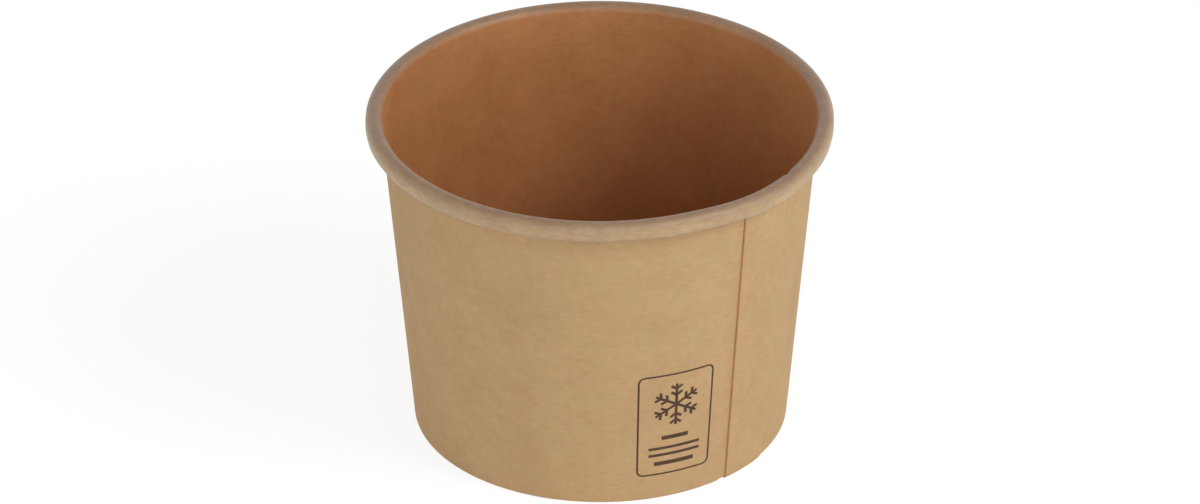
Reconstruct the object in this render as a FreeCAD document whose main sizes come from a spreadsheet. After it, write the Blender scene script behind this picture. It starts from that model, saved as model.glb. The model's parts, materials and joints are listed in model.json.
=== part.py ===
import FreeCAD, Part
import math
import os
import Sketcher
from FreeCAD import Placement, Rotation, Vector

# A round paper tub for ice cream, made from two blanks of kraft board.
# The side wall is a fan-shaped blank wrapped into a cone and sealed in a lapped side seam.
# Its top edge is curled outwards into a rolled brim, with the raw edge tucked under the roll.
# Its foot is creased inwards and up, and grips the turned-down skirt of the base disc.
# +Z is up, the origin is the middle of the foot on the table, and -Y is the front.

doc = FreeCAD.newDocument("paper_tub")

# Driving dimensions, in millimetres and degrees
SIZES = [
    ("brim_diameter", "98.0", "outside of the rolled brim, which a lid snaps over"),
    ("tub_height", "72.2", "table to the top of the brim"),
    ("foot_diameter", "79.3", "outside of the foot"),
    ("board", "0.45", "thickness of the side wall"),
    ("curl_hollow", "1.35", "inside radius of the rolled brim"),
    ("brim_side", "1.0", "straight height on the outside of the brim"),
    ("tuck_length", "0.8", "straight end of the roll, behind the brim"),
    ("tuck_gap", "0.15", "between that end and the wall"),
    ("crease_radius", "0.1", "inside radius of the folds at the foot"),
    ("flange_height", "6.6", "table to the raw edge of the turned-in foot"),
    ("base_board", "0.4", "thickness of the base disc"),
    ("base_height", "8.0", "table to the food side of the base disc"),
    ("base_bend", "0.6", "inside radius where the base disc turns down"),
    ("skirt_clearance", "0.05", "under the skirt, above the folds of the lap"),
    ("seal_gap", "0.05", "glue line on each side of the skirt"),
    ("seam_bearing", "311.0", "from +X round to the raw edge of the outer lap"),
    ("lap_angle", "14.5", "how far the two ends of the blank overlap"),
    ("ramp_angle", "4.0", "how far the blank takes to climb on or off the lap"),
    ("lap_swell", "0.2", "how much further the brim stands out over the lap"),
]

sizes = doc.addObject("Spreadsheet::Sheet", "sizes")
for row, (name, value, meaning) in enumerate(SIZES, start=1):
    sizes.set(f"A{row}", meaning)
    sizes.set(f"B{row}", value)
    sizes.setAlias(f"B{row}", name)
doc.recompute()


# Sketch helpers

START, END, CENTRE = 1, 2, 3
ORIGIN = (-1, START)
V_AXIS = -2

# Directions in a section, in radians
RIGHT = 0.0
UP = math.pi / 2
LEFT = math.pi
DOWN = 1.5 * math.pi
FULL_TURN = 2 * math.pi

# Stands in for a value until its formula is bound to it
UNSET = 1.0


def size(name):
    """One driving dimension as a number."""
    return float(sizes.get(name))


def line(start, end):
    return Part.LineSegment(start, end)


def arc(centre, radius, start_angle, end_angle):
    """An arc that runs anticlockwise, with its angles in radians."""
    return Part.ArcOfCircle(Part.Circle(centre, Vector(0, 0, 1), radius), start_angle, end_angle)


def along(angle):
    """A step of 1 mm in the direction of an angle in radians."""
    return Vector(math.cos(angle), math.sin(angle), 0)


def curl_formula(lapped):
    """The outside radius of the rolled brim, which is a little wider over the lap."""
    return f"sizes.curl_hollow + sizes.board + {lapped} * sizes.lap_swell / 2"


def wall_slope(lapped=0):
    """The heel of the wall's food side, the middle and radius of the roll at its top, and its lean."""
    swell = lapped * size("lap_swell")
    curl = size("curl_hollow") + size("board") + swell / 2
    heel = Vector(size("foot_diameter") / 2 - size("board"), size("crease_radius") + size("board"), 0)
    brim = Vector(size("brim_diameter") / 2 + swell - curl, size("tub_height") - curl, 0)
    rise = brim - heel
    tilt = math.atan2(rise.x, rise.y) - math.asin(curl / rise.Length)
    return heel, brim, curl, tilt


def slope_line(heel, brim, curl, tilt):
    """The wall's food side as a guide line, from its heel up to the height of the roll's middle."""
    return line(heel, Vector(brim.x - curl / math.cos(tilt), brim.y, 0))


def slope_dimensions(slope, brim_middle, lapped=0):
    """The dimensions that place the guide line and the middle of the roll."""
    curl = curl_formula(lapped)
    return {
        "heel_reach": (("DistanceX", *ORIGIN, slope, START), "sizes.foot_diameter / 2 - sizes.board"),
        "heel_height": (("DistanceY", *ORIGIN, slope, START), "sizes.crease_radius + sizes.board"),
        "brim_reach": (
            ("DistanceX", *ORIGIN, *brim_middle),
            f"sizes.brim_diameter / 2 + {lapped} * sizes.lap_swell - ({curl})",
        ),
        "brim_height": (("DistanceY", *ORIGIN, *brim_middle), f"sizes.tub_height - ({curl})"),
        "wall_meets_brim": (("Distance", *brim_middle, slope), curl),
    }


def new_body(label):
    body = doc.addObject("PartDesign::Body", label)
    body.Label = label
    return body


def new_section(body, name, bearing):
    """A sketch that stands on the tub's axis and is turned about it to a bearing in the body."""
    sketch = body.newObject("Sketcher::SketchObject", name)
    plane = next(item for item in body.Origin.OriginFeatures if item.Role == "XZ_Plane")
    sketch.AttachmentSupport = (plane, [""])
    sketch.MapMode = "FlatFace"
    sketch.AttachmentOffset = Placement(Vector(), Rotation(Vector(0, 1, 0), UNSET))
    sketch.setExpression(".AttachmentOffset.Rotation.Angle", bearing)
    return sketch


def constrain(sketch, rules, dimensions):
    """Adds the geometric rules, and then the dimensions, each held by a formula of the driving sizes."""
    constraints = [Sketcher.Constraint(*rule) for rule in rules]
    for name, (rule, _) in dimensions.items():
        constraint = Sketcher.Constraint(*rule, UNSET)
        constraint.Name = name
        constraints.append(constraint)
    sketch.addConstraint(constraints)
    for name, (_, formula) in dimensions.items():
        sketch.setExpression(f"Constraints.{name}", formula)


def revolve(body, name, sketch, angle):
    """Turns a section about the tub's axis, anticlockwise as seen from above."""
    feature = body.newObject("PartDesign::Revolution", name)
    feature.Profile = sketch
    feature.ReferenceAxis = (sketch, ["V_Axis"])
    feature.setExpression("Angle", angle)
    return feature


def join(body, name, first, last):
    """Rules a straight stretch of board from one section to the next."""
    feature = body.newObject("PartDesign::AdditiveLoft", name)
    feature.Profile = first
    feature.Sections = [last]
    feature.Ruled = True
    return feature


# Side wall

# The edges of one face of the blank, from its raw edge at the foot to its raw edge in the roll
FACE_EDGES = 9
FLANGE, FLANGE_BEND, SOLE, FOOT_BEND, WALL, BRIM_TOP, BRIM_SIDE, BRIM_UNDER, TUCK = range(FACE_EDGES)
BENDS = (FLANGE_BEND, FOOT_BEND, BRIM_TOP, BRIM_UNDER)
SMOOTH_JOINTS = [
    (FLANGE, END, FLANGE_BEND, START),
    (FLANGE_BEND, END, SOLE, START),
    (SOLE, END, FOOT_BEND, START),
    (FOOT_BEND, END, WALL, START),
    (WALL, END, BRIM_TOP, END),
    (BRIM_TOP, START, BRIM_SIDE, START),
    (BRIM_SIDE, END, BRIM_UNDER, END),
    (BRIM_UNDER, START, TUCK, START),
]
FOOT_EDGE, BRIM_EDGE, SLOPE = range(2 * FACE_EDGES, 2 * FACE_EDGES + 3)


def wall_section(body, name, bearing, layer, lapped):
    """The blank cut across, folded up at the foot and rolled at the brim.

    layer is 1 for the panel that laps over the other one, and lapped is 1 wherever the two lie together.
    """
    board = size("board")
    crease = size("crease_radius")
    stack = (1 + lapped) * board
    seat = size("base_board") + 2 * size("seal_gap")
    heel, brim, curl, tilt = wall_slope(lapped)
    outward = along(-tilt)
    upward = along(UP - tilt)
    inward_turn = LEFT - tilt

    climb = crease + stack - heel.y - crease * math.sin(tilt)
    foot_bend = heel - outward * crease + upward * (climb / math.cos(tilt))
    flange_bend = foot_bend - Vector((seat - 2 * crease) / math.cos(tilt), 0, 0)
    sink = stack + size("tuck_gap") - size("brim_side") * math.sin(tilt)
    under = curl - sink / (1 + math.cos(tilt))
    brim_under = brim + Vector(curl - under, -size("brim_side"), 0)
    flange_rise = size("flange_height") - flange_bend.y - (crease + layer * board) * math.sin(tilt)

    def face(depth):
        """The edges of the face that lies so deep in the lap, counted from the food side."""
        bend = crease + depth
        flange_foot = flange_bend - outward * bend
        flange_top = flange_foot + upward * (flange_rise / math.cos(tilt))
        wall_top = brim - outward * (curl - depth)
        side_top = brim + Vector(curl - depth, 0, 0)
        tuck_start = brim_under - outward * (under - depth)
        return [
            line(flange_top, flange_foot),
            arc(flange_bend, bend, inward_turn, DOWN),
            line(flange_bend - Vector(0, bend, 0), foot_bend - Vector(0, bend, 0)),
            arc(foot_bend, bend, DOWN, FULL_TURN - tilt),
            line(foot_bend + outward * bend, wall_top),
            arc(brim, curl - depth, RIGHT, inward_turn),
            line(side_top, side_top - Vector(0, size("brim_side"), 0)),
            arc(brim_under, under - depth, inward_turn, FULL_TURN),
            line(tuck_start, tuck_start + upward * size("tuck_length")),
        ]

    food_face = face(layer * board)
    print_face = face((layer + 1) * board)
    sketch = new_section(body, name, bearing)
    sketch.addGeometry(food_face + print_face, False)
    sketch.addGeometry(line(food_face[FLANGE].StartPoint, print_face[FLANGE].StartPoint), False)
    sketch.addGeometry(line(food_face[TUCK].EndPoint, print_face[TUCK].EndPoint), False)
    sketch.addGeometry(slope_line(heel, brim, curl, tilt), True)

    rules = []
    for first in (0, FACE_EDGES):
        for edge, end, next_edge, next_end in SMOOTH_JOINTS:
            rules.append(("Tangent", first + edge, end, first + next_edge, next_end))
        rules.append(("Parallel", first + FLANGE, SLOPE))
        rules.append(("Parallel", first + TUCK, SLOPE))
        rules.append(("Vertical", first + BRIM_SIDE))
        rules.append(("Coincident", first + FLANGE, START, FOOT_EDGE, START if first == 0 else END))
        rules.append(("Coincident", first + TUCK, END, BRIM_EDGE, START if first == 0 else END))
    for edge in BENDS:
        rules.append(("Coincident", edge, CENTRE, FACE_EDGES + edge, CENTRE))
    rules += [
        ("Parallel", WALL, SLOPE),
        ("Horizontal", SOLE),
        ("Horizontal", SLOPE, END, BRIM_TOP, CENTRE),
        ("Perpendicular", FOOT_EDGE, FLANGE),
        ("Perpendicular", BRIM_EDGE, TUCK),
    ]

    depth_text = f"{layer} * sizes.board"
    stack_text = f"{1 + lapped} * sizes.board"
    curl_text = curl_formula(lapped)
    seat_text = "sizes.base_board + 2 * sizes.seal_gap"
    constrain(sketch, rules, {
        **slope_dimensions(SLOPE, (BRIM_TOP, CENTRE), lapped),
        "brim_radius": (("Radius", BRIM_TOP), f"{curl_text} - {depth_text}"),
        "brim_hollow": (("Radius", FACE_EDGES + BRIM_TOP), f"{curl_text} - {depth_text} - sizes.board"),
        "brim_side": (("Distance", BRIM_SIDE), "sizes.brim_side"),
        "tuck_place": (
            ("Distance", TUCK, END, SLOPE),
            f"{stack_text} + sizes.tuck_gap + {depth_text}",
        ),
        "tuck_length": (("Distance", TUCK), "sizes.tuck_length"),
        "fold_height": (
            ("DistanceY", *ORIGIN, FOOT_BEND, CENTRE),
            f"sizes.crease_radius + {stack_text}",
        ),
        "foot_inside": (("Radius", FOOT_BEND), f"sizes.crease_radius + {depth_text}"),
        "foot_outside": (
            ("Radius", FACE_EDGES + FOOT_BEND),
            f"sizes.crease_radius + {depth_text} + sizes.board",
        ),
        "flange_inside": (("Radius", FLANGE_BEND), f"sizes.crease_radius + {depth_text}"),
        "flange_outside": (
            ("Radius", FACE_EDGES + FLANGE_BEND),
            f"sizes.crease_radius + {depth_text} + sizes.board",
        ),
        "flange_place": (("Distance", FLANGE, START, SLOPE), f"{seat_text} + {depth_text}"),
        "flange_height": (("DistanceY", *ORIGIN, FLANGE, START), "sizes.flange_height"),
    })
    return sketch


side_wall = new_body("side_wall")

# The outer panel is the end of the blank that lies outside in the lap, and the inner panel the other end
outer_panel = wall_section(
    side_wall, "outer_panel", "sizes.seam_bearing + sizes.lap_angle", layer=1, lapped=1)
wall_start = wall_section(
    side_wall, "wall_start", "sizes.seam_bearing + sizes.lap_angle + sizes.ramp_angle", layer=0, lapped=0)
wall_end = wall_section(
    side_wall, "wall_end", "sizes.seam_bearing - sizes.ramp_angle", layer=0, lapped=0)
inner_panel = wall_section(
    side_wall, "inner_panel", "sizes.seam_bearing", layer=0, lapped=1)
doc.recompute()

revolve(side_wall, "wrap", wall_start, "360 - sizes.lap_angle - 2 * sizes.ramp_angle")
join(side_wall, "step_off_lap", wall_start, outer_panel)
outer_lap = revolve(side_wall, "outer_lap", outer_panel, "sizes.lap_angle")
outer_lap.Reversed = True
join(side_wall, "step_under_lap", wall_end, inner_panel)
revolve(side_wall, "inner_lap", inner_panel, "sizes.lap_angle")


# Base disc

# The edges of its section, from the middle of its food side to the middle of its underside
DISC_EDGES = 8
(
    DISC_TOP, BEND_OUTSIDE, SKIRT_OUTSIDE, SKIRT_EDGE,
    SKIRT_INSIDE, BEND_INSIDE, DISC_UNDER, AXIS,
) = range(DISC_EDGES)
WALL_LINE, BRIM_MIDDLE = DISC_EDGES, DISC_EDGES + 1


def disc_section(body, name):
    """Half of the drawn disc, whose skirt lies along the inside of the wall."""
    heel, brim, curl, tilt = wall_slope()
    outward = along(-tilt)
    upward = along(UP - tilt)

    top = size("base_height")
    thickness = size("base_board")
    outer_bend = size("base_bend") + thickness
    skirt_foot = 2 * size("board") + size("crease_radius") + size("skirt_clearance")
    inset = outward * (size("seal_gap") + outer_bend)
    bend = heel - inset
    bend += upward * ((top - outer_bend - bend.y) / math.cos(tilt))
    drop = bend.y - outer_bend * math.sin(tilt) - skirt_foot

    def face(depth):
        """The bend's radius, and where the skirt's face begins and ends, at a depth into the board."""
        radius = outer_bend - depth
        skirt_top = bend + outward * radius
        return radius, skirt_top, skirt_top - upward * (drop / math.cos(tilt))

    outer_radius, outer_top, outer_foot = face(0)
    inner_radius, inner_top, inner_foot = face(thickness)
    sketch = new_section(body, name, "sizes.seam_bearing")
    sketch.addGeometry([
        line(Vector(0, top, 0), Vector(bend.x, top, 0)),
        arc(bend, outer_radius, -tilt, UP),
        line(outer_top, outer_foot),
        line(outer_foot, inner_foot),
        line(inner_foot, inner_top),
        arc(bend, inner_radius, -tilt, UP),
        line(Vector(bend.x, top - thickness, 0), Vector(0, top - thickness, 0)),
        line(Vector(0, top - thickness, 0), Vector(0, top, 0)),
    ], False)
    sketch.addGeometry(slope_line(heel, brim, curl, tilt), True)
    sketch.addGeometry(Part.Point(brim), True)

    constrain(sketch, [
        ("Tangent", DISC_TOP, END, BEND_OUTSIDE, END),
        ("Tangent", BEND_OUTSIDE, START, SKIRT_OUTSIDE, START),
        ("Coincident", SKIRT_OUTSIDE, END, SKIRT_EDGE, START),
        ("Coincident", SKIRT_EDGE, END, SKIRT_INSIDE, START),
        ("Tangent", SKIRT_INSIDE, END, BEND_INSIDE, START),
        ("Tangent", BEND_INSIDE, END, DISC_UNDER, START),
        ("Coincident", DISC_UNDER, END, AXIS, START),
        ("Coincident", AXIS, END, DISC_TOP, START),
        ("Coincident", BEND_OUTSIDE, CENTRE, BEND_INSIDE, CENTRE),
        ("PointOnObject", AXIS, START, V_AXIS),
        ("PointOnObject", AXIS, END, V_AXIS),
        ("Horizontal", DISC_TOP),
        ("Horizontal", DISC_UNDER),
        ("Parallel", SKIRT_OUTSIDE, WALL_LINE),
        ("Parallel", SKIRT_INSIDE, WALL_LINE),
        ("Perpendicular", SKIRT_EDGE, SKIRT_OUTSIDE),
        ("Horizontal", WALL_LINE, END, BRIM_MIDDLE, START),
    ], {
        **slope_dimensions(WALL_LINE, (BRIM_MIDDLE, START)),
        "base_height": (("DistanceY", *ORIGIN, DISC_TOP, START), "sizes.base_height"),
        "bend_outside": (("Radius", BEND_OUTSIDE), "sizes.base_bend + sizes.base_board"),
        "bend_inside": (("Radius", BEND_INSIDE), "sizes.base_bend"),
        "skirt_place": (("Distance", SKIRT_OUTSIDE, END, WALL_LINE), "sizes.seal_gap"),
        "skirt_foot": (
            ("DistanceY", *ORIGIN, SKIRT_OUTSIDE, END),
            "2 * sizes.board + sizes.crease_radius + sizes.skirt_clearance",
        ),
    })
    return sketch


base_disc = new_body("base_disc")
revolve(base_disc, "drawn_disc", disc_section(base_disc, "disc_section"), "360")
doc.recompute()


# Checks and export

for item in doc.Objects:
    if "Invalid" in item.State or "Error" in item.State:
        raise RuntimeError(f"{item.Label} failed to build: {item.State}")
for body in (side_wall, base_disc):
    if body.Shape.isNull() or not body.Shape.isValid():
        raise RuntimeError(f"{body.Label} isn't a sound solid")

os.makedirs("parts", exist_ok=True)
for body in (side_wall, base_disc):
    body.Shape.exportStep(f"parts/{body.Label}.step")
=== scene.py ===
import json
import math

import bpy
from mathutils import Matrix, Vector


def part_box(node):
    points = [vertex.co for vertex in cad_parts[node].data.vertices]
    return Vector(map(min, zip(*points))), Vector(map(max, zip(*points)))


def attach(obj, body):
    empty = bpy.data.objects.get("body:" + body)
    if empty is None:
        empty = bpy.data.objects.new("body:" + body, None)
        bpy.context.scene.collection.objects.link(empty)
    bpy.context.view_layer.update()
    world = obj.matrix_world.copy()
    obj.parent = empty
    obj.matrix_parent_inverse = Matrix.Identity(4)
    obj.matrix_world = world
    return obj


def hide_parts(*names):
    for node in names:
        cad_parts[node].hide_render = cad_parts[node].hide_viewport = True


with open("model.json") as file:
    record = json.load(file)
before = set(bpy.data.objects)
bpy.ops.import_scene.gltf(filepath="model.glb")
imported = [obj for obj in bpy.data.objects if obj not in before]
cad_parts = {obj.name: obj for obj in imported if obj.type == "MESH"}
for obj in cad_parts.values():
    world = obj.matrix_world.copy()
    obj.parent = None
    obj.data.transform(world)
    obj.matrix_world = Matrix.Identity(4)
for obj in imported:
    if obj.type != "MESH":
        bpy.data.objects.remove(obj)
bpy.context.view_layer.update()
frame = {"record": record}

# A round kraft paper tub, wrapped from one blank of board, with a drawn base disc in its foot.
# Everything is in metres, and a bearing runs anticlockwise from +X as seen from above.

MM = 0.001
DEGREE = math.radians(1)

# Sizes of the two blanks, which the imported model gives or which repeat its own
seat = next(mount for mount in frame["record"]["mounts"] if mount["name"] == "brim_lid_seat")
BRIM_RADIUS = seat["dims"]["r_mm"] * MM
BRIM_SIDE = seat["dims"]["length_mm"] * MM
TUB_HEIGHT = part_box("side_wall")[1].z
BASE_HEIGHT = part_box("base_disc")[1].z
FOOT_RADIUS = 39.65 * MM
BOARD = 0.45 * MM
CURL_HOLLOW = 1.35 * MM
CREASE = 0.1 * MM
TUCK_LENGTH = 0.8 * MM
TUCK_GAP = 0.15 * MM
FLANGE_HEIGHT = 6.6 * MM
BASE_BOARD = 0.4 * MM
BASE_BEND = 0.6 * MM
SKIRT_FOOT = 1.05 * MM
SKIRT_GAP = 0.05 * MM
LAP_SWELL = 0.2 * MM
LAP_GLUE = 0.02 * MM
SEAM_BEARING = 311 * DEGREE
LAP_ANGLE = 14.5 * DEGREE
RAMP_ANGLE = 4 * DEGREE

# Mesh steps along each edge of the side wall's section
FLANGE_STEPS = 6
CREASE_STEPS = 5
WALL_STEPS = 22
CURL_STEPS = 18
UNDER_STEPS = 9
TUCK_STEPS = 2
WALL_TOP_ROW = FLANGE_STEPS + CREASE_STEPS + 1 + CREASE_STEPS + WALL_STEPS

# Mesh steps along the base disc's section, and round it
DISC_STEPS = 20
BEND_STEPS = 8
SKIRT_STEPS = 4
DISC_COLUMNS = 240
WELD_REACH = 0.001 * MM

# The toothed wheel that presses the foot leaves a groove every few degrees
KNURL_PITCH = 3 * DEGREE
KNURL_DEPTH = 0.09 * MM
COLUMNS_PER_KNURL = 4

# The wall is never quite round, least of all near the brim.
# The brim sits lower where the lap is rolled in, from a share of the height upwards.
SWAY = 0.12 * MM
SWAY_LENGTH = 60 * MM
BRIM_DIP = 0.65 * MM
DIP_BEARING = SEAM_BEARING + LAP_ANGLE
DIP_REACH = 32 * DEGREE
DIP_START = 0.5

# The cut edges of the board are a little rounded
CUT_ROUND = 0.06 * MM
SHARP_ANGLE = 60 * DEGREE

# Attributes of a wrapped sheet and of the sections that it is made from
UV_NAME = "blank"
PATH_NAME = "path"

# The middle of a noise's range
MIDDLE = 0.5


# Node helpers

def feed(tree, socket, value):
    """Links a value to a socket, or fills the socket with it."""
    if isinstance(value, bpy.types.NodeSocket):
        tree.links.new(value, socket)
    else:
        socket.default_value = value


def put(tree, kind, sockets=None, **settings):
    """A new node, with its settings made first and its sockets then linked or filled."""
    made = tree.nodes.new(kind)
    for name, value in settings.items():
        setattr(made, name, value)
    for name, value in (sockets or {}).items():
        feed(tree, made.inputs[name], value)
    return made


def calc(tree, operation, *values):
    """The result of one sum on numbers."""
    return put(tree, "ShaderNodeMath", dict(enumerate(values)), operation=operation).outputs[0]


def vector_calc(tree, operation, *values):
    """The result of one sum on vectors."""
    return put(tree, "ShaderNodeVectorMath", dict(enumerate(values)), operation=operation).outputs[0]


def stretched(tree, vector, factor):
    """A vector times a number."""
    return put(tree, "ShaderNodeVectorMath", {0: vector, "Scale": factor}, operation="SCALE").outputs[0]


def combine(tree, **parts):
    """A vector from its X, Y and Z, where a part that isn't given is nought."""
    return put(tree, "ShaderNodeCombineXYZ", parts).outputs[0]


def split(tree, vector):
    """The X, Y and Z of a vector."""
    return put(tree, "ShaderNodeSeparateXYZ", {"Vector": vector}).outputs


def remap(tree, value, low, high, to_low=0.0, to_high=1.0, smooth=False):
    """A value from one range brought to another, and held within it."""
    made = put(
        tree, "ShaderNodeMapRange",
        {"Value": value, "From Min": low, "From Max": high, "To Min": to_low, "To Max": to_high},
        interpolation_type="SMOOTHSTEP" if smooth else "LINEAR",
    )
    return made.outputs["Result"]


def noise(tree, vector, scale, detail=2.0, roughness=0.5, distortion=0.0):
    """Soft noise from 0 to 1."""
    made = put(tree, "ShaderNodeTexNoise", {
        "Vector": vector, "Scale": scale, "Detail": detail,
        "Roughness": roughness, "Distortion": distortion,
    })
    return made.outputs["Fac"]


def blend(tree, share, first, second, kind="Color", mode="MIX"):
    """A mix of two colours or of two vectors, with this share of the second."""
    data_type = {"Color": "RGBA", "Vector": "VECTOR"}[kind]
    made = put(tree, "ShaderNodeMix", data_type=data_type, blend_type=mode)
    inputs = {socket.identifier: socket for socket in made.inputs}
    outputs = {socket.identifier: socket for socket in made.outputs}
    feed(tree, inputs["Factor_Float"], share)
    feed(tree, inputs["A_" + kind], first)
    feed(tree, inputs["B_" + kind], second)
    return outputs["Result_" + kind]


def new_tree(name, kind, inputs, outputs):
    """A node group with named sockets. Returns the tree, what it is given and what it gives."""
    tree = bpy.data.node_groups.new(name, kind)
    for socket_name, socket_type, value in inputs:
        socket = tree.interface.new_socket(socket_name, in_out="INPUT", socket_type=socket_type)
        if value is not None:
            socket.default_value = value
    for socket_name, socket_type in outputs:
        tree.interface.new_socket(socket_name, in_out="OUTPUT", socket_type=socket_type)
    given = tree.nodes.new("NodeGroupInput").outputs
    gives = tree.nodes.new("NodeGroupOutput").inputs
    return tree, given, gives


def add_object(name, data):
    """A new object in the scene, at the origin."""
    made = bpy.data.objects.new(name, data)
    bpy.context.scene.collection.objects.link(made)
    return made


def grow(name, tree, values):
    """A piece whose plain mesh is what the geometry tree makes with these values."""
    maker = add_object(name + "_maker", bpy.data.meshes.new(name + "_maker"))
    modifier = maker.modifiers.new("maker", "NODES")
    modifier.node_group = tree
    for item in tree.interface.items_tree:
        if item.in_out == "INPUT" and item.name in values:
            modifier[item.identifier] = values[item.name]
    depsgraph = bpy.context.evaluated_depsgraph_get()
    mesh = bpy.data.meshes.new_from_object(maker.evaluated_get(depsgraph))
    bpy.data.objects.remove(maker)

    # The maker may leave an empty material slot before the finish
    if mesh.materials[0] is None:
        mesh.materials.pop(index=0)
    mesh.name = name
    return add_object(name, mesh)


# Sections of the board, as points with a radius and a height

def along(angle):
    """A step of one metre in the direction of an angle."""
    return Vector((math.cos(angle), math.sin(angle)))


def straight(start, end, steps=1):
    """Points from start to end, without the last."""
    return [start.lerp(end, step / steps) for step in range(steps)]


def arc(centre, radius, start_angle, end_angle, steps):
    """Points round an arc, without the last."""
    angles = [start_angle + (end_angle - start_angle) * step / steps for step in range(steps)]
    return [centre + along(angle) * radius for angle in angles]


def wall_slope(lapped=0):
    """The heel of the wall's food side, the middle and radius of the roll at its top, and its lean."""
    curl = CURL_HOLLOW + BOARD + lapped * LAP_SWELL / 2
    heel = Vector((FOOT_RADIUS - BOARD, CREASE + BOARD))
    brim = Vector((BRIM_RADIUS + lapped * LAP_SWELL - curl, TUB_HEIGHT - curl))
    rise = brim - heel
    lean = math.atan2(rise.x, rise.y) - math.asin(curl / rise.length)
    return heel, brim, curl, lean


def blank_section(layer, lapped):
    """Food side of the side wall, from its raw edge in the foot to the one that is tucked into the roll.

    layer is 1 where the board lies over the other end of the blank, and lapped is 1 where the two meet.
    """
    depth = layer * (BOARD + LAP_GLUE)
    stack = BOARD + lapped * (BOARD + LAP_GLUE)
    heel, brim, curl, lean = wall_slope(lapped)
    outward = along(-lean)
    upward = along(math.pi / 2 - lean)
    inward_turn = math.pi - lean

    seat_width = BASE_BOARD + 2 * SKIRT_GAP
    climb = CREASE + stack - heel.y - CREASE * math.sin(lean)
    foot_bend = heel - outward * CREASE + upward * (climb / math.cos(lean))
    flange_bend = foot_bend - Vector(((seat_width - 2 * CREASE) / math.cos(lean), 0))
    bend = CREASE + depth
    flange_foot = flange_bend - outward * bend
    flange_top = flange_foot + upward * ((FLANGE_HEIGHT - flange_foot.y) / math.cos(lean))

    sink = stack + TUCK_GAP - BRIM_SIDE * math.sin(lean)
    under = curl - sink / (1 + math.cos(lean))
    brim_under = brim + Vector((curl - under, -BRIM_SIDE))
    wall_top = brim - outward * (curl - depth)
    side_top = brim + Vector((curl - depth, 0))
    side_foot = side_top - Vector((0, BRIM_SIDE))
    tuck_start = brim_under - outward * (under - depth)
    tuck_end = tuck_start + upward * TUCK_LENGTH

    down = Vector((0, -bend))
    return [
        *straight(flange_top, flange_foot, FLANGE_STEPS),
        *arc(flange_bend, bend, inward_turn, 1.5 * math.pi, CREASE_STEPS),
        *straight(flange_bend + down, foot_bend + down),
        *arc(foot_bend, bend, 1.5 * math.pi, 2 * math.pi - lean, CREASE_STEPS),
        *straight(foot_bend + outward * bend, wall_top, WALL_STEPS),
        *arc(brim, curl - depth, inward_turn, 0, CURL_STEPS),
        *straight(side_top, side_foot),
        *arc(brim_under, under - depth, 0, inward_turn - 2 * math.pi, UNDER_STEPS),
        *straight(tuck_start, tuck_end, TUCK_STEPS),
        tuck_end,
    ]


def disc_section():
    """Food side of the base disc, from its middle to the raw edge of its turned-down skirt."""
    heel, _, _, lean = wall_slope()
    outward = along(-lean)
    upward = along(math.pi / 2 - lean)
    bend = BASE_BEND + BASE_BOARD
    middle = heel - outward * (SKIRT_GAP + bend)
    middle += upward * ((BASE_HEIGHT - bend - middle.y) / math.cos(lean))
    skirt_top = middle + outward * bend
    skirt_end = skirt_top - upward * ((skirt_top.y - SKIRT_FOOT) / math.cos(lean))
    return [
        *straight(Vector((0, BASE_HEIGHT)), Vector((middle.x, BASE_HEIGHT)), DISC_STEPS),
        *arc(middle, bend, math.pi / 2, -lean, BEND_STEPS),
        *straight(skirt_top, skirt_end, SKIRT_STEPS),
        skirt_end,
    ]


def path_lengths(points):
    """How far along the section each of its points lies."""
    lengths = [0.0]
    for before, after in zip(points, points[1:]):
        lengths.append(lengths[-1] + (after - before).length)
    return lengths


def section_guide(name, points):
    """A row of points for a geometry tree to read, each with its length along the section."""
    mesh = bpy.data.meshes.new(name)
    mesh.from_pydata([(p.x, 0, p.y) for p in points], [], [])
    path = mesh.attributes.new(PATH_NAME, "FLOAT", "POINT")
    path.data.foreach_set("value", path_lengths(points))
    return add_object(name, mesh)


# Geometry trees

def sway_tree():
    """Moves points a little in or out, more so higher up, and lowers the brim at the lap."""
    tree, given, gives = new_tree("sway", "GeometryNodeTree", [
        ("Position", "NodeSocketVector", None),
        ("Amount", "NodeSocketFloat", SWAY),
        ("Length", "NodeSocketFloat", SWAY_LENGTH),
        ("Height", "NodeSocketFloat", TUB_HEIGHT),
        ("Dip", "NodeSocketFloat", BRIM_DIP),
        ("Dip bearing", "NodeSocketFloat", DIP_BEARING),
        ("Dip reach", "NodeSocketFloat", DIP_REACH),
    ], [("Position", "NodeSocketVector")])
    position = given["Position"]
    outward = vector_calc(tree, "NORMALIZE", vector_calc(tree, "MULTIPLY", position, (1, 1, 0)))
    share = calc(tree, "DIVIDE", split(tree, position)["Z"], given["Height"])

    pattern = noise(tree, position, calc(tree, "DIVIDE", 1.0, given["Length"]), detail=1.0)
    swing = calc(tree, "MULTIPLY", calc(tree, "SUBTRACT", pattern, MIDDLE), share)
    swing = calc(tree, "MULTIPLY", swing, calc(tree, "DIVIDE", given["Amount"], MIDDLE))
    step = stretched(tree, outward, swing)

    bearing = given["Dip bearing"]
    dip_way = combine(tree, X=calc(tree, "COSINE", bearing), Y=calc(tree, "SINE", bearing))
    facing = put(tree, "ShaderNodeVectorMath", {0: outward, 1: dip_way}, operation="DOT_PRODUCT")
    reach = calc(tree, "COSINE", given["Dip reach"])
    nearness = remap(tree, facing.outputs["Value"], reach, 1.0, smooth=True)
    upper = remap(tree, share, DIP_START, 1.0, smooth=True)
    drop = calc(tree, "MULTIPLY", calc(tree, "MULTIPLY", nearness, upper), given["Dip"])
    step = vector_calc(tree, "SUBTRACT", step, combine(tree, Z=drop))
    tree.links.new(vector_calc(tree, "ADD", position, step), gives["Position"])
    return tree


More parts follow.
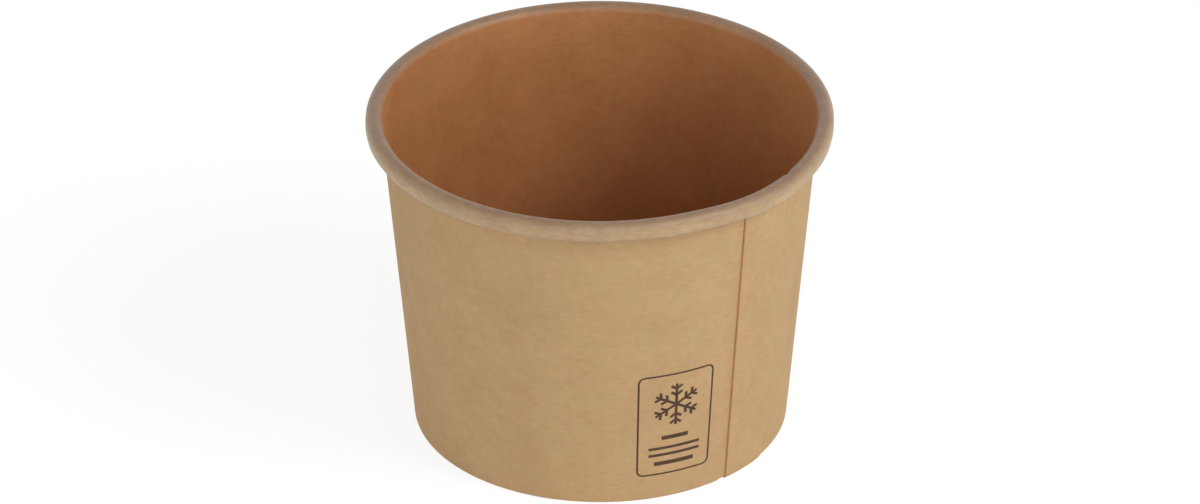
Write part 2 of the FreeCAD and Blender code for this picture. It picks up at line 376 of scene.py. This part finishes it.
def set_round(tree, mesh, point, bearing, sway):
    """Moves each point of a mesh to its place in the section, turned to its bearing and swayed."""
    turned = put(
        tree, "ShaderNodeVectorRotate", {"Vector": point, "Angle": bearing}, rotation_type="Z_AXIS",
    )
    swayed = put(tree, "GeometryNodeGroup", node_tree=sway)
    tree.links.new(turned.outputs[0], swayed.inputs["Position"])
    place = swayed.outputs["Position"]
    return put(tree, "GeometryNodeSetPosition", {"Geometry": mesh, "Position": place}).outputs[0]


def finish_tree(tree, geometry, given, gives):
    """Ends a geometry tree with a real mesh in its finish."""
    smooth = put(tree, "GeometryNodeSetShadeSmooth", {"Geometry": geometry}).outputs[0]
    real = put(tree, "GeometryNodeRealizeInstances", {"Geometry": smooth}).outputs[0]
    dressed = put(tree, "GeometryNodeSetMaterial", {"Geometry": real, "Material": given["Finish"]})
    tree.links.new(dressed.outputs[0], gives["Geometry"])


def wrapped_sheet_tree(sway):
    """Wraps one face of a sheet round the axis, easing between sections at the two ends of a lap."""
    tree, given, gives = new_tree("wrapped sheet", "GeometryNodeTree", [
        ("Plain section", "NodeSocketObject", None),
        ("Outer section", "NodeSocketObject", None),
        ("Inner section", "NodeSocketObject", None),
        ("Columns", "NodeSocketInt", 2),
        ("Rows", "NodeSocketInt", 2),
        ("Start bearing", "NodeSocketFloat", 0.0),
        ("Wrap angle", "NodeSocketFloat", 2 * math.pi),
        ("Lap angle", "NodeSocketFloat", 0.0),
        ("Ramp angle", "NodeSocketFloat", 0.0),
        ("Knurled rows", "NodeSocketFloat", 0.0),
        ("Knurl pitch", "NodeSocketFloat", KNURL_PITCH),
        ("Knurl depth", "NodeSocketFloat", 0.0),
        ("Weld", "NodeSocketFloat", 0.0),
        ("Finish", "NodeSocketMaterial", None),
    ], [("Geometry", "NodeSocketGeometry")])

    # A column of the grid is one section of the board, and its points are numbered column by column
    rows = given["Rows"]
    columns = given["Columns"]
    sheet = put(tree, "GeometryNodeMeshGrid", {"Vertices X": columns, "Vertices Y": rows})
    index = put(tree, "GeometryNodeInputIndex").outputs[0]
    row = calc(tree, "FLOORED_MODULO", index, rows)
    column = calc(tree, "FLOOR", calc(tree, "DIVIDE", index, rows))
    last_column = calc(tree, "SUBTRACT", columns, 1.0)
    turned = calc(tree, "MULTIPLY", calc(tree, "DIVIDE", column, last_column), given["Wrap angle"])

    lap_end = calc(tree, "ADD", given["Lap angle"], given["Ramp angle"])
    under_start = calc(tree, "SUBTRACT", given["Wrap angle"], lap_end)
    under_end = calc(tree, "SUBTRACT", given["Wrap angle"], given["Lap angle"])
    outer_share = remap(tree, turned, given["Lap angle"], lap_end, 1.0, 0.0, smooth=True)
    inner_share = remap(tree, turned, under_start, under_end, smooth=True)

    def read(section, value, data_type):
        """What a section's point for this row holds."""
        source = put(tree, "GeometryNodeObjectInfo", {"Object": given[section]}).outputs["Geometry"]
        return put(
            tree, "GeometryNodeSampleIndex", {"Geometry": source, "Value": value, "Index": row},
            data_type=data_type,
        ).outputs[0]

    place = put(tree, "GeometryNodeInputPosition").outputs[0]
    point = read("Plain section", place, "FLOAT_VECTOR")
    for section, share in (("Outer section", outer_share), ("Inner section", inner_share)):
        point = blend(tree, share, point, read(section, place, "FLOAT_VECTOR"), kind="Vector")

    # Grooves are pressed into the rows above the raw edge, which has row 0
    teeth = calc(tree, "DIVIDE", calc(tree, "MULTIPLY", turned, 2 * math.pi), given["Knurl pitch"])
    pressed = calc(tree, "MULTIPLY", calc(tree, "COSINE", teeth), given["Knurl depth"])
    in_band = calc(tree, "LESS_THAN", row, given["Knurled rows"])
    off_edge = calc(tree, "GREATER_THAN", row, 0.0)
    pressed = calc(tree, "MULTIPLY", pressed, calc(tree, "MULTIPLY", in_band, off_edge))
    point = vector_calc(tree, "ADD", point, combine(tree, X=pressed))

    bearing = calc(tree, "ADD", turned, given["Start bearing"])
    placed = set_round(tree, sheet.outputs["Mesh"], point, bearing, sway)

    path = put(tree, "GeometryNodeInputNamedAttribute", {"Name": PATH_NAME}, data_type="FLOAT")
    around = calc(tree, "MULTIPLY", turned, BRIM_RADIUS)
    flat_place = combine(tree, X=around, Y=read("Plain section", path.outputs[0], "FLOAT"))
    at_points = put(tree, "GeometryNodeFieldOnDomain", {
        "Value": flat_place,
    }, data_type="FLOAT_VECTOR", domain="POINT").outputs[0]
    mapped = put(tree, "GeometryNodeStoreNamedAttribute", {
        "Geometry": placed, "Name": UV_NAME, "Value": at_points,
    }, data_type="FLOAT2", domain="CORNER").outputs[0]
    welded = put(tree, "GeometryNodeMergeByDistance", {"Geometry": mapped, "Distance": given["Weld"]})
    food_side_out = put(tree, "GeometryNodeFlipFaces", {"Mesh": welded.outputs[0]}).outputs[0]
    finish_tree(tree, food_side_out, given, gives)
    return tree


# Finishes

# Marks in the pulp: how many there are along a millimetre, and how far each kind moves the tone
CLOUDS_PER_MM = 0.085
FLOCKS_PER_MM = 0.5
STREAKS_PER_MM = (0.35, 2.2, 1.0)
GRAIN_PER_MM = 5.0
CLOUD_TONE = 1.1
FLOCK_TONE = 0.8
STREAK_TONE = 0.8
GRAIN_TONE = 1.0

# Where the cast's noise is this far from its middle, a warm or cool cast starts, and is full
CASTS_PER_MM = 0.16
CAST_OFFSET = (31.0, 57.0, 13.0)
CAST_START = 0.02
CAST_FULL = 0.18

# Specks lie in some cells of a pattern, and their rim is a share of a cell from its middle
SPECKS_PER_MM = 0.3
SPECK_RIM = (0.06, 0.03)
SPECK_CHANCE = (0.7, 0.9)

# Relief of the board, and the share of it that grain and streaks have
FACE_RELIEF = 0.02 * MM
EDGE_RELIEF = 0.05 * MM
GRAIN_RELIEF = 0.6
STREAK_RELIEF = 0.4

# Where the roll starts, its colour with painted shade and painted light, its gloss and its crinkles come
# in over the length of the fade
ROLL_FADE = 1.8 * MM
ROLL_GLOSS = 0.2
CRINKLE_WIDTH = 0.9 * MM
CRINKLE_LENGTH = 5 * MM
CRINKLE_SHARE = 2.5


def srgb(red, green, blue):
    """A colour from its usual 0 to 255 values."""
    def linear(value):
        share = value / 255
        return share / 12.92 if share <= 0.04045 else ((share + 0.055) / 1.055) ** 2.4
    return (linear(red), linear(green), linear(blue), 1.0)


def pulp_group():
    """Kraft pulp: clouds and flocks of denser fibre, streaks and grain, colour casts and specks."""
    tree, given, gives = new_tree("kraft pulp", "ShaderNodeTree", [
        ("Vector", "NodeSocketVector", None),
        ("Pale", "NodeSocketColor", None),
        ("Dark", "NodeSocketColor", None),
        ("Warm cast", "NodeSocketColor", None),
        ("Cool cast", "NodeSocketColor", None),
        ("Clouds", "NodeSocketFloat", 1.0),
        ("Streaks", "NodeSocketFloat", 1.0),
        ("Casts", "NodeSocketFloat", 0.1),
        ("Specks", "NodeSocketFloat", 0.5),
    ], [("Color", "NodeSocketColor"), ("Height", "NodeSocketFloat")])
    in_mm = stretched(tree, given["Vector"], 1 / MM)
    along_grain = vector_calc(tree, "MULTIPLY", in_mm, STREAKS_PER_MM)
    clouds = noise(tree, in_mm, CLOUDS_PER_MM, detail=6.0, roughness=0.62)
    flocks = noise(tree, in_mm, FLOCKS_PER_MM, detail=4.0, roughness=0.6)
    streaks = noise(tree, along_grain, 1.0, detail=3.0, roughness=0.6, distortion=0.4)
    grain = noise(tree, in_mm, GRAIN_PER_MM, detail=3.0, roughness=0.65)

    tone = MIDDLE
    for marks, amount, reach in (
        (clouds, "Clouds", CLOUD_TONE),
        (flocks, "Clouds", FLOCK_TONE),
        (streaks, "Streaks", STREAK_TONE),
        (grain, "Streaks", GRAIN_TONE),
    ):
        off_middle = calc(tree, "SUBTRACT", marks, MIDDLE)
        share = calc(tree, "MULTIPLY", given[amount], reach)
        tone = calc(tree, "ADD", tone, calc(tree, "MULTIPLY", off_middle, share))
    colour = blend(tree, remap(tree, tone, 0.0, 1.0), given["Dark"], given["Pale"])

    cast = noise(tree, vector_calc(tree, "ADD", in_mm, CAST_OFFSET), CASTS_PER_MM, detail=3.0)
    for name, side in (("Warm cast", 1), ("Cool cast", -1)):
        share = remap(tree, cast, MIDDLE + side * CAST_START, MIDDLE + side * CAST_FULL)
        colour = blend(tree, calc(tree, "MULTIPLY", share, given["Casts"]), colour, given[name])

    cells = put(tree, "ShaderNodeTexVoronoi", {"Vector": in_mm, "Scale": SPECKS_PER_MM}).outputs
    chance = put(tree, "ShaderNodeSeparateColor", {0: cells["Color"]}).outputs[0]
    dot = remap(tree, cells["Distance"], *SPECK_RIM)
    speck = calc(tree, "MULTIPLY", dot, remap(tree, chance, *SPECK_CHANCE))
    speck = calc(tree, "MULTIPLY", speck, given["Specks"])
    tree.links.new(blend(tree, speck, colour, given["Dark"], mode="MULTIPLY"), gives["Color"])

    grain_height = calc(tree, "MULTIPLY", grain, GRAIN_RELIEF)
    streak_height = calc(tree, "MULTIPLY", streaks, STREAK_RELIEF)
    tree.links.new(calc(tree, "ADD", grain_height, streak_height), gives["Height"])
    return tree


def new_finish(name, roughness, **constants):
    """A material with one Principled shader. Its constants are set on the shader's own sockets."""
    material = bpy.data.materials.new(name)
    material.use_nodes = True
    shader = material.node_tree.nodes["Principled BSDF"]
    shader.inputs["Roughness"].default_value = roughness
    for socket, value in constants.items():
        shader.inputs[socket.replace("_", " ")].default_value = value
    return material, material.node_tree, shader


def place_pulp(tree, pulp, vector, **values):
    """Kraft pulp in a material, with its own colours and amounts."""
    group = put(tree, "ShaderNodeGroup", node_tree=pulp)
    tree.links.new(vector, group.inputs["Vector"])
    for name, value in values.items():
        group.inputs[name.replace("_", " ")].default_value = value
    return group.outputs


def bump(tree, shader, height, distance, strength=1.0):
    """Relief of this depth in metres on a shader."""
    relief = put(tree, "ShaderNodeBump", {"Height": height, "Distance": distance, "Strength": strength})
    tree.links.new(relief.outputs["Normal"], shader.inputs["Normal"])


def blank_place(tree):
    """Where a point lies on the flat blank."""
    return put(tree, "ShaderNodeUVMap", uv_map=UV_NAME).outputs["UV"]


def object_place(tree):
    """Where a point lies in the tub's own frame."""
    return put(tree, "ShaderNodeTexCoord").outputs["Object"]


def print_side_finish(pulp):
    """The bare kraft outside: matte, cloudy and faintly streaked round the tub."""
    material, tree, shader = new_finish("kraft_print_side", roughness=0.88)
    pulp_out = place_pulp(
        tree, pulp, blank_place(tree),
        Pale=srgb(205, 171, 125), Dark=srgb(169, 134, 92),
        Warm_cast=srgb(194, 149, 116), Cool_cast=srgb(180, 158, 114),
        Clouds=0.6, Streaks=0.65, Casts=0.22, Specks=0.5,
    )
    tree.links.new(pulp_out["Color"], shader.inputs["Base Color"])
    bump(tree, shader, pulp_out["Height"], FACE_RELIEF, strength=0.6)
    return material


def food_side_pulp(tree, pulp, vector):
    """The darker, redder kraft that the food side shows through its film."""
    return place_pulp(
        tree, pulp, vector,
        Pale=srgb(189, 133, 83), Dark=srgb(160, 102, 58),
        Warm_cast=srgb(178, 113, 71), Cool_cast=srgb(170, 122, 78),
        Clouds=1.0, Streaks=0.8, Casts=0.4, Specks=0.35,
    )


def wall_food_side_finish(pulp):
    """Coated side of the wall. Over the roll its colour holds painted shade on top, and painted light
    with a painted sheen on its side.
    """
    material, tree, shader = new_finish("kraft_food_side", roughness=0.5, Coat_Roughness=0.35)
    blank = blank_place(tree)
    plain = food_side_pulp(tree, pulp, blank)
    # Painted shade: the top of the roll is darker and greyer, as if less light fell on it and it glossed
    roll_top_painted_shade = place_pulp(
        tree, pulp, blank,
        Pale=srgb(159, 127, 97), Dark=srgb(125, 93, 66),
        Warm_cast=srgb(146, 110, 84), Cool_cast=srgb(140, 113, 87),
        Clouds=1.0, Streaks=1.2, Casts=0.3, Specks=0.3,
    )
    # Painted light: the side of the roll is paler and greyer, a painted sheen over the kraft's colour
    roll_side_painted_light = place_pulp(
        tree, pulp, blank,
        Pale=srgb(200, 171, 131), Dark=srgb(160, 129, 91),
        Warm_cast=srgb(190, 154, 122), Cool_cast=srgb(178, 154, 112),
        Clouds=1.0, Streaks=1.2, Casts=0.3, Specks=0.3,
    )
    up_blank = split(tree, blank)["Y"]
    lengths = path_lengths(blank_section(layer=0, lapped=0))
    roll_start = lengths[WALL_TOP_ROW]
    side_start = lengths[WALL_TOP_ROW + CURL_STEPS]
    crown = (roll_start + side_start) / 2
    rolled = remap(tree, up_blank, roll_start, roll_start + ROLL_FADE, smooth=True)
    # Painted light and shade: from the darker top of the roll to its paler side
    painted_light_share = remap(tree, up_blank, crown, side_start + BRIM_SIDE, smooth=True)
    roll_painted_light_and_shade = blend(tree, painted_light_share, roll_top_painted_shade["Color"], roll_side_painted_light["Color"])
    tree.links.new(blend(tree, rolled, plain["Color"], roll_painted_light_and_shade), shader.inputs["Base Color"])
    tree.links.new(calc(tree, "MULTIPLY", rolled, ROLL_GLOSS), shader.inputs["Coat Weight"])
    across_roll = vector_calc(tree, "MULTIPLY", blank, (1 / CRINKLE_WIDTH, 1 / CRINKLE_LENGTH, 0))
    crinkles = calc(tree, "MULTIPLY", noise(tree, across_roll, 1.0, detail=3.0), CRINKLE_SHARE)
    relief = calc(tree, "ADD", plain["Height"], calc(tree, "MULTIPLY", crinkles, rolled))
    bump(tree, shader, relief, FACE_RELIEF, strength=0.6)
    return material


def base_food_side_finish(pulp):
    """Coated side of the base disc."""
    material, tree, shader = new_finish("base_food_side", roughness=0.5)
    pulp_out = food_side_pulp(tree, pulp, object_place(tree))
    tree.links.new(pulp_out["Color"], shader.inputs["Base Color"])
    bump(tree, shader, pulp_out["Height"], FACE_RELIEF, strength=0.5)
    return material


def raw_edge_finish(pulp):
    """The cut edge of the board: open fibre, redder than its faces."""
    material, tree, shader = new_finish("board_cut_edge", roughness=0.95)
    pulp_out = place_pulp(
        tree, pulp, object_place(tree),
        Pale=srgb(216, 160, 116), Dark=srgb(182, 126, 86),
        Warm_cast=srgb(200, 138, 100), Cool_cast=srgb(186, 148, 104),
        Clouds=1.2, Streaks=1.4, Casts=0.4, Specks=0.6,
    )
    tree.links.new(pulp_out["Color"], shader.inputs["Base Color"])
    bump(tree, shader, pulp_out["Height"], EDGE_RELIEF)
    return material


def ink_finish(pulp):
    """One brown ink, soaked into the kraft and thinner over its fibres."""
    material, tree, shader = new_finish("brown_ink", roughness=0.75)
    pulp_out = place_pulp(
        tree, pulp, object_place(tree),
        Pale=srgb(88, 60, 36), Dark=srgb(58, 35, 19),
        Warm_cast=srgb(80, 50, 32), Cool_cast=srgb(70, 52, 34),
        Clouds=1.0, Streaks=1.4, Casts=0.3, Specks=0.2,
    )
    tree.links.new(pulp_out["Color"], shader.inputs["Base Color"])
    return material


# The two boards

def add_board(piece, thickness, finishes):
    """Gives a wrapped sheet its thickness behind its face, and rounds its cut edges a little.

    finishes are those of its other side and of its cut edges.
    """
    for finish in finishes:
        piece.data.materials.append(finish)
    solid = piece.modifiers.new("thickness", "SOLIDIFY")
    solid.thickness = thickness
    solid.offset = -1
    solid.use_even_offset = True
    solid.material_offset = 1
    solid.material_offset_rim = 2
    edge = piece.modifiers.new("cut_edge", "BEVEL")
    edge.width = CUT_ROUND
    edge.segments = 2
    edge.limit_method = "ANGLE"
    edge.angle_limit = SHARP_ANGLE


def make_side_wall(tree, food_side, print_side, cut_edge):
    """The wall's blank, wrapped once round and lapped at the seam."""
    plain = section_guide("plain_section", blank_section(layer=0, lapped=0))
    outer = section_guide("outer_section", blank_section(layer=1, lapped=1))
    inner = section_guide("inner_section", blank_section(layer=0, lapped=1))
    wrap_angle = 2 * math.pi + LAP_ANGLE
    wall = grow("side_wall_board", tree, {
        "Plain section": plain, "Outer section": outer, "Inner section": inner,
        "Rows": len(plain.data.vertices),
        "Columns": round(wrap_angle / KNURL_PITCH * COLUMNS_PER_KNURL) + 1,
        "Start bearing": SEAM_BEARING, "Wrap angle": wrap_angle,
        "Lap angle": LAP_ANGLE, "Ramp angle": RAMP_ANGLE,
        "Knurled rows": float(FLANGE_STEPS), "Knurl pitch": KNURL_PITCH, "Knurl depth": KNURL_DEPTH / 2,
        "Weld": 0.0, "Finish": food_side,
    })
    for guide in (plain, outer, inner):
        bpy.data.objects.remove(guide)
    add_board(wall, BOARD, (print_side, cut_edge))
    return wall


def make_base_disc(tree, food_side, print_side, cut_edge):
    """The base's disc, with one section all round and its two ends welded."""
    section = section_guide("disc_section", disc_section())

    # All three sections are the same, so the ramp between them changes nothing
    disc = grow("base_disc_board", tree, {
        "Plain section": section, "Outer section": section, "Inner section": section,
        "Rows": len(section.data.vertices), "Columns": DISC_COLUMNS + 1,
        "Start bearing": 0.0, "Wrap angle": 2 * math.pi, "Lap angle": 0.0, "Ramp angle": DEGREE,
        "Weld": WELD_REACH, "Finish": food_side,
    })
    bpy.data.objects.remove(section)
    add_board(disc, BASE_BOARD, (print_side, cut_edge))
    return disc


# Printed panel: a plain frame with a snowflake and ruled bars

PANEL_BEARING = 292.2 * DEGREE
PANEL_WIDTH = 16.4 * MM
PANEL_HEIGHT = 25.2 * MM
PANEL_FOOT = 6.3 * MM
PANEL_CORNER = 1.3 * MM
FRAME_INK = 0.42 * MM
PRINT_STEP = 0.4 * MM
PRINT_CORNER_STEPS = 6
INK_LIFT = 0.02 * MM
FLAKE_HEIGHT = 17.4 * MM
FLAKE_REACH = 5.2 * MM
FLAKE_INK = 0.62 * MM
FLAKE_ARMS = 6
TWIG_PLACES = (0.45, 0.75)
TWIG_REACH = 1.5 * MM
TWIG_TURN = 55 * DEGREE

# Each bar's height above the panel's foot, its length and its width
BARS = (
    (9.2 * MM, 6.0 * MM, 1.0 * MM),
    (6.6 * MM, 11.6 * MM, 0.7 * MM),
    (4.9 * MM, 11.6 * MM, 0.7 * MM),
    (2.7 * MM, 9.0 * MM, 1.0 * MM),
)


def print_tree(sway):
    """Lays flat line work on the wall, with its X round the tub and its Y up the slope."""
    tree, given, gives = new_tree("print on wall", "GeometryNodeTree", [
        ("Line work", "NodeSocketObject", None),
        ("Corner radius", "NodeSocketFloat", 0.0),
        ("Bearing", "NodeSocketFloat", 0.0),
        ("Turning radius", "NodeSocketFloat", BRIM_RADIUS),
        ("Heel radius", "NodeSocketFloat", FOOT_RADIUS),
        ("Heel height", "NodeSocketFloat", 0.0),
        ("Lean", "NodeSocketFloat", 0.0),
        ("Lift", "NodeSocketFloat", 0.0),
        ("Finish", "NodeSocketMaterial", None),
    ], [("Geometry", "NodeSocketGeometry")])
    lines = put(tree, "GeometryNodeObjectInfo", {"Object": given["Line work"]}).outputs["Geometry"]
    rounded = put(tree, "GeometryNodeFilletCurve", {
        "Curve": lines, "Radius": given["Corner radius"],
        "Count": PRINT_CORNER_STEPS, "Limit Radius": True,
    }, mode="POLY").outputs[0]
    fine = put(
        tree, "GeometryNodeResampleCurve", {"Curve": rounded, "Length": PRINT_STEP}, mode="LENGTH",
    ).outputs[0]

    # A stroke is one metre wide until each line's own width scales it
    stroke = put(tree, "GeometryNodeCurvePrimitiveLine", {"Start": (-0.5, 0, 0), "End": (0.5, 0, 0)})
    width = put(tree, "GeometryNodeInputRadius").outputs[0]
    inked = put(tree, "GeometryNodeCurveToMesh", {
        "Curve": fine, "Profile Curve": stroke.outputs[0], "Scale": width,
    }).outputs[0]

    flat = split(tree, put(tree, "GeometryNodeInputPosition").outputs[0])
    turned = calc(tree, "DIVIDE", flat["X"], given["Turning radius"])
    bearing = calc(tree, "ADD", given["Bearing"], turned)
    rise = calc(tree, "MULTIPLY", flat["Y"], calc(tree, "COSINE", given["Lean"]))
    reach = calc(tree, "MULTIPLY", flat["Y"], calc(tree, "SINE", given["Lean"]))
    radius = calc(tree, "ADD", calc(tree, "ADD", given["Heel radius"], reach), given["Lift"])
    point = combine(tree, X=radius, Z=calc(tree, "ADD", given["Heel height"], rise))
    finish_tree(tree, set_round(tree, inked, point, bearing, sway), given, gives)
    return tree


def line_work(name, strokes):
    """Flat curves, each from its points, its width and whether it closes."""
    curves = bpy.data.curves.new(name, "CURVE")
    curves.dimensions = "3D"
    for points, width, closed in strokes:
        spline = curves.splines.new("POLY")
        spline.points.add(len(points) - 1)
        for made, point in zip(spline.points, points):
            made.co = (point.x, point.y, 0, 1)
            made.radius = width
        spline.use_cyclic_u = closed
    return add_object(name, curves)


def panel_strokes():
    """The frame, the snowflake and the bars, centred on X with the frame's foot at Y 0."""
    half = PANEL_WIDTH / 2
    corners = ((-half, 0), (half, 0), (half, PANEL_HEIGHT), (-half, PANEL_HEIGHT))
    strokes = [([Vector(corner) for corner in corners], FRAME_INK, True)]
    middle = Vector((0, FLAKE_HEIGHT))
    for arm in range(FLAKE_ARMS):
        turn = math.pi / 2 + arm * 2 * math.pi / FLAKE_ARMS
        strokes.append(([middle, middle + along(turn) * FLAKE_REACH], FLAKE_INK, False))
        for place in TWIG_PLACES:
            fork = middle + along(turn) * (FLAKE_REACH * place)
            for side in (-1, 1):
                tip = fork + along(turn + side * TWIG_TURN) * TWIG_REACH
                strokes.append(([fork, tip], FLAKE_INK, False))
    for height, length, width in BARS:
        strokes.append(([Vector((-length / 2, height)), Vector((length / 2, height))], width, False))
    return strokes


def make_printed_panel(tree, ink):
    """The panel's ink, just clear of the outside of the wall."""
    heel, _, _, lean = wall_slope()
    outward = along(-lean)
    upward = along(math.pi / 2 - lean)
    foot = heel + outward * BOARD
    foot += upward * ((PANEL_FOOT - foot.y) / math.cos(lean))
    work = line_work("panel_lines", panel_strokes())
    panel = grow("printed_panel", tree, {
        "Line work": work, "Corner radius": PANEL_CORNER, "Bearing": PANEL_BEARING,
        "Turning radius": foot.x + PANEL_HEIGHT / 2 * math.sin(lean),
        "Heel radius": foot.x, "Heel height": foot.y, "Lean": lean, "Lift": INK_LIFT, "Finish": ink,
    })
    bpy.data.objects.remove(work)
    return panel


# Camera, floor and light

# The lens and the sensor are in millimetres, and the shift of the aim is in pixels of the image
IMAGE_WIDTH = 1200
SENSOR_WIDTH = 36
CAMERA_DISTANCE = 1773.7 * MM
CAMERA_ELEVATION = 30.24 * DEGREE
CAMERA_ROLL = -0.18 * DEGREE
CAMERA_LENS = 251.9
FARTHEST_SEEN = 100
AIM = Vector((0, 0, TUB_HEIGHT / 2))
AIM_RIGHT = 0.15
AIM_DOWN = 6.68

FLOOR_HALF = 6.0
FLOOR_WHITE = 0.88
LAMP_DISTANCE = 1.5


def grey(value):
    """A colour with this value in red, green and blue."""
    return (value, value, value, 1)


def add_camera():
    """A long lens in front of the tub, at the photograph's height and framing."""
    camera = add_object("camera", bpy.data.cameras.new("camera"))
    back = Vector((0, -math.cos(CAMERA_ELEVATION), math.sin(CAMERA_ELEVATION)))
    camera.location = AIM + back * CAMERA_DISTANCE
    camera.rotation_euler = (math.pi / 2 - CAMERA_ELEVATION, 0, 0)
    camera.rotation_euler.rotate_axis("Z", CAMERA_ROLL)
    camera.data.sensor_width = SENSOR_WIDTH
    camera.data.lens = CAMERA_LENS
    camera.data.shift_x = -AIM_RIGHT / IMAGE_WIDTH
    camera.data.shift_y = AIM_DOWN / IMAGE_WIDTH
    camera.data.clip_end = FARTHEST_SEEN
    bpy.context.scene.camera = camera


def seen_directly(tree):
    """One for what the camera sees, by itself or in gloss or glass."""
    path = put(tree, "ShaderNodeLightPath").outputs
    seen = calc(tree, "MAXIMUM", path["Is Camera Ray"], path["Is Glossy Ray"])
    return calc(tree, "MAXIMUM", seen, path["Is Transmission Ray"])


def add_surroundings(horizon, zenith):
    """White all round for the camera. As light, the sky is this bright low down and overhead."""
    world = bpy.data.worlds.new("studio")
    bpy.context.scene.world = world
    world.use_nodes = True
    tree = world.node_tree
    background = tree.nodes["Background"]
    background.inputs["Color"].default_value = grey(1)
    direction = put(tree, "ShaderNodeTexCoord").outputs["Generated"]
    sky = remap(tree, split(tree, direction)["Z"], 0.0, 1.0, horizon, zenith)
    strength = calc(tree, "MAXIMUM", sky, seen_directly(tree))
    tree.links.new(strength, background.inputs["Strength"])


def floor_finish(shade, glow):
    """White that keeps a soft shadow. From below it is clear, so that the foot can be seen."""
    material = bpy.data.materials.new("white_floor")
    material.use_nodes = True
    tree = material.node_tree
    tree.nodes.clear()
    matte = put(tree, "ShaderNodeBsdfDiffuse", {"Color": grey(FLOOR_WHITE)}).outputs[0]
    shaded = put(tree, "ShaderNodeBsdfDiffuse", {"Color": grey(shade)}).outputs[0]
    glowing = put(tree, "ShaderNodeEmission", {"Color": grey(1), "Strength": glow}).outputs[0]
    seen = put(tree, "ShaderNodeAddShader", {0: shaded, 1: glowing}).outputs[0]
    top = put(tree, "ShaderNodeMixShader", {0: seen_directly(tree), 1: matte, 2: seen}).outputs[0]
    clear = put(tree, "ShaderNodeBsdfTransparent").outputs[0]
    from_below = put(tree, "ShaderNodeNewGeometry").outputs["Backfacing"]
    both = put(tree, "ShaderNodeMixShader", {0: from_below, 1: top, 2: clear}).outputs[0]
    put(tree, "ShaderNodeOutputMaterial", {"Surface": both})
    return material


def add_floor(shade, glow):
    """A square floor at the height of the tub's foot."""
    mesh = bpy.data.meshes.new("floor")
    corners = ((-1, -1), (1, -1), (1, 1), (-1, 1))
    mesh.from_pydata([(x * FLOOR_HALF, y * FLOOR_HALF, 0) for x, y in corners], [], [(0, 1, 2, 3)])
    mesh.materials.append(floor_finish(shade, glow))
    floor = add_object("floor", mesh)


def add_lamp(name, azimuth, elevation, size, power):
    """A square soft box that faces the tub. Azimuth 0 is in front, and 90 degrees is to the right."""
    lamp = add_object(name, bpy.data.lights.new(name, "AREA"))
    level = math.cos(elevation)
    direction = Vector((math.sin(azimuth) * level, -math.cos(azimuth) * level, math.sin(elevation)))
    lamp.location = AIM + direction * LAMP_DISTANCE
    lamp.rotation_euler = direction.to_track_quat("Z", "Y").to_euler()
    lamp.data.size = size
    lamp.data.energy = power


add_camera()
add_surroundings(horizon=1.4, zenith=0.0)
add_floor(shade=0.3, glow=0.81)
add_lamp("front_box", azimuth=0, elevation=22 * DEGREE, size=1.0, power=2.9)
add_lamp("right_box", azimuth=60 * DEGREE, elevation=40 * DEGREE, size=0.6, power=8.0)

pulp = pulp_group()
print_side = print_side_finish(pulp)
food_side = wall_food_side_finish(pulp)
base_food_side = base_food_side_finish(pulp)
cut_edge = raw_edge_finish(pulp)
ink = ink_finish(pulp)

sway = sway_tree()
wrapped_sheet = wrapped_sheet_tree(sway)
wall = make_side_wall(wrapped_sheet, food_side, print_side, cut_edge)
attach(wall, "root")
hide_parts("side_wall")

disc = make_base_disc(wrapped_sheet, base_food_side, print_side, cut_edge)
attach(disc, "root")
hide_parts("base_disc")

panel = make_printed_panel(print_tree(sway), ink)
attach(panel, "root")

bpy.context.scene.view_settings.view_transform = "Standard"
